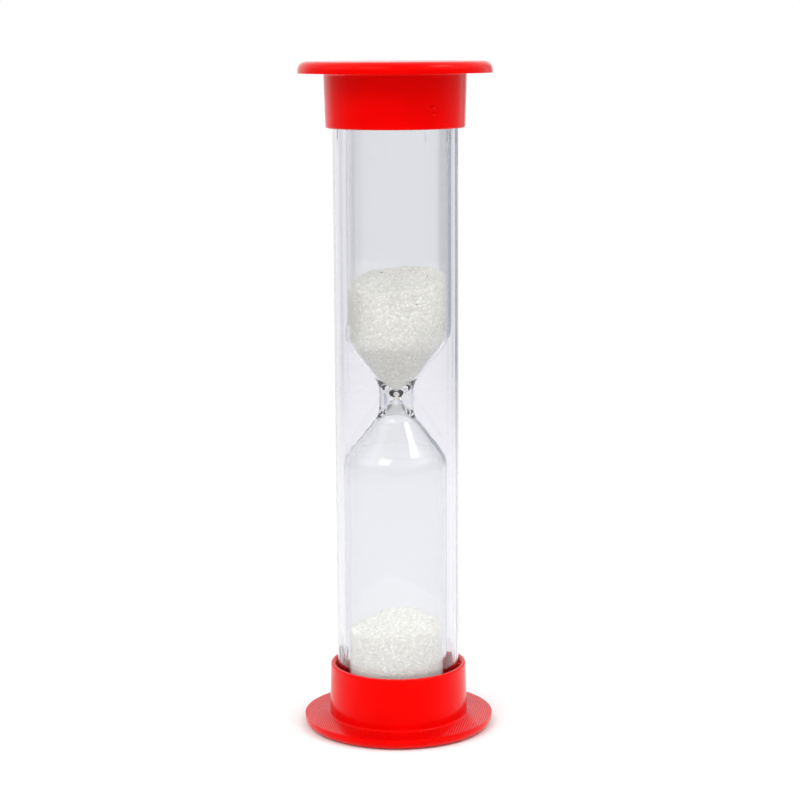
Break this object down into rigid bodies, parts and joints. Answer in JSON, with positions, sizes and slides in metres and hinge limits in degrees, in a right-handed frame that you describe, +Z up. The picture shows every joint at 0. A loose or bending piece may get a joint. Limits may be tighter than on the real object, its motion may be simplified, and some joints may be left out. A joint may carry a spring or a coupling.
{
  "type": "sand timer",
  "caption": "Small hourglass: a pinched glass vial of pale sand, held upright in a clear tube between two round red flanged caps.",
  "frame": {"origin": "centre of the bottom cap's flat resting face", "axes": "+Z up along the outer tube, from the bottom cap to the top cap; +X is the side towards which the vial leans at its top"},
  "size_m": [0.0254, 0.0254, 0.089],
  "materials": {
    "red_cap": "satin",
    "clear_tube": "gloss",
    "vial_glass": "gloss",
    "stopper": "matte",
    "foam": "matte",
    "sand": "matte"
  },
  "bodies": {
    "timer": {"bottom_cap": "red_cap", "top_cap": "red_cap", "outer_tube": "clear_tube", "glass_vial": "vial_glass", "vial_stopper": "stopper", "bottom_cushion": "foam", "top_cushion": "foam"},
    "upper_sand_level": {"upper_sand": "sand"},
    "lower_sand_level": {"lower_sand": "sand"}
  },
  "joints": [
    {"name": "upper_sand_fall", "type": "slide", "parent": "timer", "child": "upper_sand_level", "axis": [-0.0122, 0, -0.9999], "range_m": [-0.007, 0.004], "deforming": ["upper_sand"]},
    {"name": "lower_sand_rise", "type": "slide", "parent": "timer", "child": "lower_sand_level", "axis": [0.0122, 0, 0.9999], "range_m": [-0.007, 0.004], "deforming": ["lower_sand"]}
  ],
  "couplings": [
    {"joint": "lower_sand_rise", "follows": "upper_sand_fall", "ratio": 1}
  ]
}
